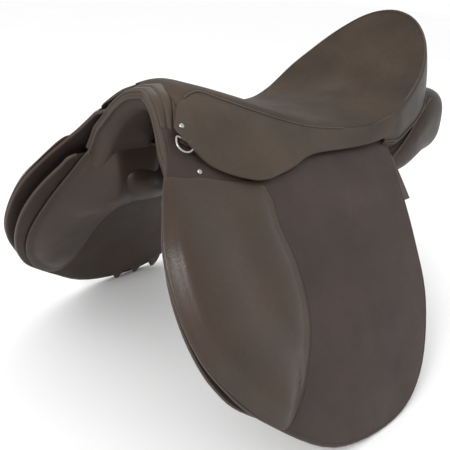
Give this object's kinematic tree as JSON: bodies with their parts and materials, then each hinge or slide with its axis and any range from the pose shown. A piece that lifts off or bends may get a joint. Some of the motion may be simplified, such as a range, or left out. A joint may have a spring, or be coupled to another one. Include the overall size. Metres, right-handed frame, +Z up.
{
  "type": "english saddle",
  "caption": "Close-contact jumping saddle on a wooden tree, with lifting flaps and skirts, knee pads, safety stirrup bars, girth straps and D rings.",
  "frame": {"origin": "point on the horse's back between the two panels, under the middle of the seat", "axes": "-Y to the pommel, +X to the near (left) side, +Z up; the saddle is symmetric about X = 0"},
  "size_m": [0.5566, 0.6126, 0.4698],
  "materials": {
    "seat_leather": "soft satin grain",
    "skirt_leather": "satin grain",
    "flap_leather": "satin grain",
    "pad_leather": "soft satin grain",
    "panel_leather": "matte soft grain",
    "strap_leather": "waxed, smooth",
    "trim_leather": "satin grain",
    "nickel": "polished nickel",
    "forged_steel": "satin",
    "tree_wood": "laminated beech, lacquered",
    "web": "woven linen web",
    "foam": "felted padding"
  },
  "bodies": {
    "saddle": {"bar_plate_near": "forged_steel", "bar_plate_off": "forged_steel", "bar_rivet_front_near": "forged_steel", "bar_rivet_front_off": "forged_steel", "bar_rivet_rear_near": "forged_steel", "bar_rivet_rear_off": "forged_steel", "buckle_guard_near": "strap_leather", "buckle_guard_off": "strap_leather", "cantle_facing": "trim_leather", "catch_pin_near": "forged_steel", "catch_pin_off": "forged_steel", "d_ring_chape_near": "strap_leather", "d_ring_chape_off": "strap_leather", "girth_web_1": "web", "girth_web_2": "web", "gullet_cloth": "web", "gullet_plate": "forged_steel", "head_nail_near": "nickel", "head_nail_off": "nickel", "head_plate": "forged_steel", "panel_block_near": "panel_leather", "panel_block_off": "panel_leather", "panel_near": "panel_leather", "panel_off": "panel_leather", "pommel_cover": "skirt_leather", "pommel_facing": "trim_leather", "pommel_lining": "panel_leather", "rear_strap_near": "strap_leather", "rear_strap_off": "strap_leather", "seat_cover": "seat_leather", "seat_foam": "foam", "seat_web": "web", "spring_strip_near": "forged_steel", "spring_strip_off": "forged_steel", "stirrup_bar_near": "forged_steel", "stirrup_bar_off": "forged_steel", "sweat_flap_near": "panel_leather", "sweat_flap_off": "panel_leather", "tree_cantle": "tree_wood", "tree_head": "tree_wood", "tree_rail_near": "tree_wood", "tree_rail_off": "tree_wood"},
    "flap_body_near": {"flap_near": "flap_leather", "knee_pad_near": "pad_leather", "flap_stud_near": "nickel"},
    "skirt_body_near": {"skirt_near": "skirt_leather"},
    "catch_body_near": {"safety_catch_near": "forged_steel"},
    "ring_body_near": {"d_ring_near": "nickel"},
    "billet_body_1_near": {"billet_1_near": "strap_leather"},
    "billet_body_2_near": {"billet_2_near": "strap_leather"},
    "billet_body_3_near": {"billet_3_near": "strap_leather"},
    "flap_body_off": {"flap_off": "flap_leather", "knee_pad_off": "pad_leather", "flap_stud_off": "nickel"},
    "skirt_body_off": {"skirt_off": "skirt_leather"},
    "catch_body_off": {"safety_catch_off": "forged_steel"},
    "ring_body_off": {"d_ring_off": "nickel"},
    "billet_body_1_off": {"billet_1_off": "strap_leather"},
    "billet_body_2_off": {"billet_2_off": "strap_leather"},
    "billet_body_3_off": {"billet_3_off": "strap_leather"}
  },
  "joints": [
    {"name": "flap_lift_near", "type": "hinge", "parent": "saddle", "child": "flap_body_near", "pos_m": [0.08988, -0.145, 0.11259], "axis": [0, -1, 0], "range_deg": [0, 40]},
    {"name": "skirt_lift_near", "type": "hinge", "parent": "flap_body_near", "child": "skirt_body_near", "pos_m": [0.08988, -0.145, 0.11259], "axis": [0, -1, 0], "range_deg": [0, 60]},
    {"name": "catch_turn_near", "type": "hinge", "parent": "saddle", "child": "catch_body_near", "pos_m": [0.09776, -0.1085, 0.09013], "axis": [0.7643, 0, 0.6449], "range_deg": [0, 75]},
    {"name": "ring_swing_near", "type": "hinge", "parent": "saddle", "child": "ring_body_near", "pos_m": [0.0775, -0.235, 0.12044], "axis": [-0.4188, -0.774, 0.475], "range_deg": [0, 70]},
    {"name": "billet_swing_1_near", "type": "hinge", "parent": "saddle", "child": "billet_body_1_near", "pos_m": [0.11225, -0.095, 0.05262], "axis": [0.788, 0, 0.6157], "range_deg": [-8, 8]},
    {"name": "billet_swing_2_near", "type": "hinge", "parent": "saddle", "child": "billet_body_2_near", "pos_m": [0.11225, -0.057, 0.05262], "axis": [0.788, 0, 0.6157], "range_deg": [-8, 8]},
    {"name": "billet_swing_3_near", "type": "hinge", "parent": "saddle", "child": "billet_body_3_near", "pos_m": [0.11225, -0.019, 0.05262], "axis": [0.788, 0, 0.6157], "range_deg": [-8, 8]},
    {"name": "flap_lift_off", "type": "hinge", "parent": "saddle", "child": "flap_body_off", "pos_m": [-0.08988, -0.145, 0.11259], "axis": [0, 1, 0], "range_deg": [0, 40]},
    {"name": "skirt_lift_off", "type": "hinge", "parent": "flap_body_off", "child": "skirt_body_off", "pos_m": [-0.08988, -0.145, 0.11259], "axis": [0, 1, 0], "range_deg": [0, 60]},
    {"name": "catch_turn_off", "type": "hinge", "parent": "saddle", "child": "catch_body_off", "pos_m": [-0.09776, -0.1085, 0.09013], "axis": [0.7643, 0, -0.6449], "range_deg": [0, 75]},
    {"name": "ring_swing_off", "type": "hinge", "parent": "saddle", "child": "ring_body_off", "pos_m": [-0.0775, -0.235, 0.12044], "axis": [-0.4188, 0.774, -0.475], "range_deg": [0, 70]},
    {"name": "billet_swing_1_off", "type": "hinge", "parent": "saddle", "child": "billet_body_1_off", "pos_m": [-0.11225, -0.095, 0.05262], "axis": [-0.788, 0, 0.6157], "range_deg": [-8, 8]},
    {"name": "billet_swing_2_off", "type": "hinge", "parent": "saddle", "child": "billet_body_2_off", "pos_m": [-0.11225, -0.057, 0.05262], "axis": [-0.788, 0, 0.6157], "range_deg": [-8, 8]},
    {"name": "billet_swing_3_off", "type": "hinge", "parent": "saddle", "child": "billet_body_3_off", "pos_m": [-0.11225, -0.019, 0.05262], "axis": [-0.788, 0, 0.6157], "range_deg": [-8, 8]}
  ],
  "couplings": [
    {"joint": "billet_swing_1_near", "follows": "billet_swing_2_near", "ratio": 1},
    {"joint": "billet_swing_3_near", "follows": "billet_swing_2_near", "ratio": 1},
    {"joint": "billet_swing_1_off", "follows": "billet_swing_2_off", "ratio": 1},
    {"joint": "billet_swing_3_off", "follows": "billet_swing_2_off", "ratio": 1}
  ]
}
